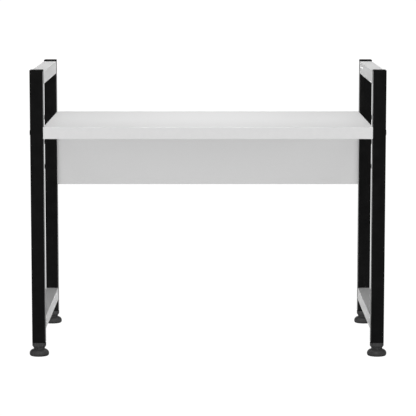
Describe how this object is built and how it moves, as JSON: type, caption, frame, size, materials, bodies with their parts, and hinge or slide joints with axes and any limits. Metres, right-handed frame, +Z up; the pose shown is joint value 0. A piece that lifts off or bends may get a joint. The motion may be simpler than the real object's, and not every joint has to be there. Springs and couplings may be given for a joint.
{
  "type": "office desk",
  "caption": "Office desk with square black steel posts, white rails at the top and bottom of each side, a white top set below the post ends, a white modesty panel and levelling feet.",
  "frame": {"origin": "on the floor, under the middle of the desk", "axes": "+X to the right along the desktop, +Y to the back where the modesty panel is, +Z up"},
  "size_m": [1.1, 0.62, 0.88],
  "materials": {
    "black_steel": "satin black powder coat",
    "white_board": "chipboard with matt white melamine faces",
    "white_band": "white ABS edge band",
    "black_plastic": "moulded black polyethylene",
    "grey_plastic": "moulded dark grey nylon",
    "black_hardware": "black zinc plate",
    "zinc_steel": "bright zinc plate",
    "zinc_casting": "zinc die casting",
    "beech": "turned beech"
  },
  "bodies": {
    "frame": {"post_front_left": "black_steel", "post_cap_front_left": "black_plastic", "foot_insert_front_left": "black_plastic", "post_front_right": "black_steel", "post_cap_front_right": "black_plastic", "foot_insert_front_right": "black_plastic", "post_back_left": "black_steel", "post_cap_back_left": "black_plastic", "foot_insert_back_left": "black_plastic", "post_back_right": "black_steel", "post_cap_back_right": "black_plastic", "foot_insert_back_right": "black_plastic", "top_rail_left": "white_board", "top_rail_right": "white_board", "bottom_rail_left": "white_board", "bottom_rail_right": "white_board", "desktop_board": "white_board", "modesty_panel": "white_board", "desktop_band_front": "white_band", "desktop_band_back": "white_band", "desktop_band_left": "white_band", "desktop_band_right": "white_band", "modesty_band_top": "white_band", "modesty_band_bottom": "white_band", "desktop_bolts": "black_hardware", "panel_bolts": "black_hardware", "desktop_barrel_nuts": "zinc_steel", "panel_barrel_nuts": "zinc_steel", "rail_rivet_nuts": "zinc_steel", "rail_cam_bolts": "zinc_steel", "rail_cam_locks": "zinc_casting", "rail_dowels": "beech"},
    "front_left_stud": {"foot_stud_front_left": "zinc_steel"},
    "front_left_foot": {"foot_base_front_left": "grey_plastic"},
    "front_right_stud": {"foot_stud_front_right": "zinc_steel"},
    "front_right_foot": {"foot_base_front_right": "grey_plastic"},
    "back_left_stud": {"foot_stud_back_left": "zinc_steel"},
    "back_left_foot": {"foot_base_back_left": "grey_plastic"},
    "back_right_stud": {"foot_stud_back_right": "zinc_steel"},
    "back_right_foot": {"foot_base_back_right": "grey_plastic"}
  },
  "joints": [
    {"name": "front_left_foot_lift", "type": "slide", "parent": "frame", "child": "front_left_stud", "axis": [0, 0, -1], "range_m": [0, 0.015]},
    {"name": "front_left_foot_turn", "type": "hinge", "parent": "front_left_stud", "child": "front_left_foot", "pos_m": [-0.52, -0.28, 0], "axis": [0, 0, -1], "range_deg": [0, 3600]},
    {"name": "front_right_foot_lift", "type": "slide", "parent": "frame", "child": "front_right_stud", "axis": [0, 0, -1], "range_m": [0, 0.015]},
    {"name": "front_right_foot_turn", "type": "hinge", "parent": "front_right_stud", "child": "front_right_foot", "pos_m": [0.52, -0.28, 0], "axis": [0, 0, -1], "range_deg": [0, 3600]},
    {"name": "back_left_foot_lift", "type": "slide", "parent": "frame", "child": "back_left_stud", "axis": [0, 0, -1], "range_m": [0, 0.015]},
    {"name": "back_left_foot_turn", "type": "hinge", "parent": "back_left_stud", "child": "back_left_foot", "pos_m": [-0.52, 0.28, 0], "axis": [0, 0, -1], "range_deg": [0, 3600]},
    {"name": "back_right_foot_lift", "type": "slide", "parent": "frame", "child": "back_right_stud", "axis": [0, 0, -1], "range_m": [0, 0.015]},
    {"name": "back_right_foot_turn", "type": "hinge", "parent": "back_right_stud", "child": "back_right_foot", "pos_m": [0.52, 0.28, 0], "axis": [0, 0, -1], "range_deg": [0, 3600]}
  ],
  "couplings": [
    {"joint": "front_left_foot_lift", "follows": "front_left_foot_turn", "m_per_rad": 0.00023873},
    {"joint": "front_right_foot_lift", "follows": "front_right_foot_turn", "m_per_rad": 0.00023873},
    {"joint": "back_left_foot_lift", "follows": "back_left_foot_turn", "m_per_rad": 0.00023873},
    {"joint": "back_right_foot_lift", "follows": "back_right_foot_turn", "m_per_rad": 0.00023873}
  ]
}
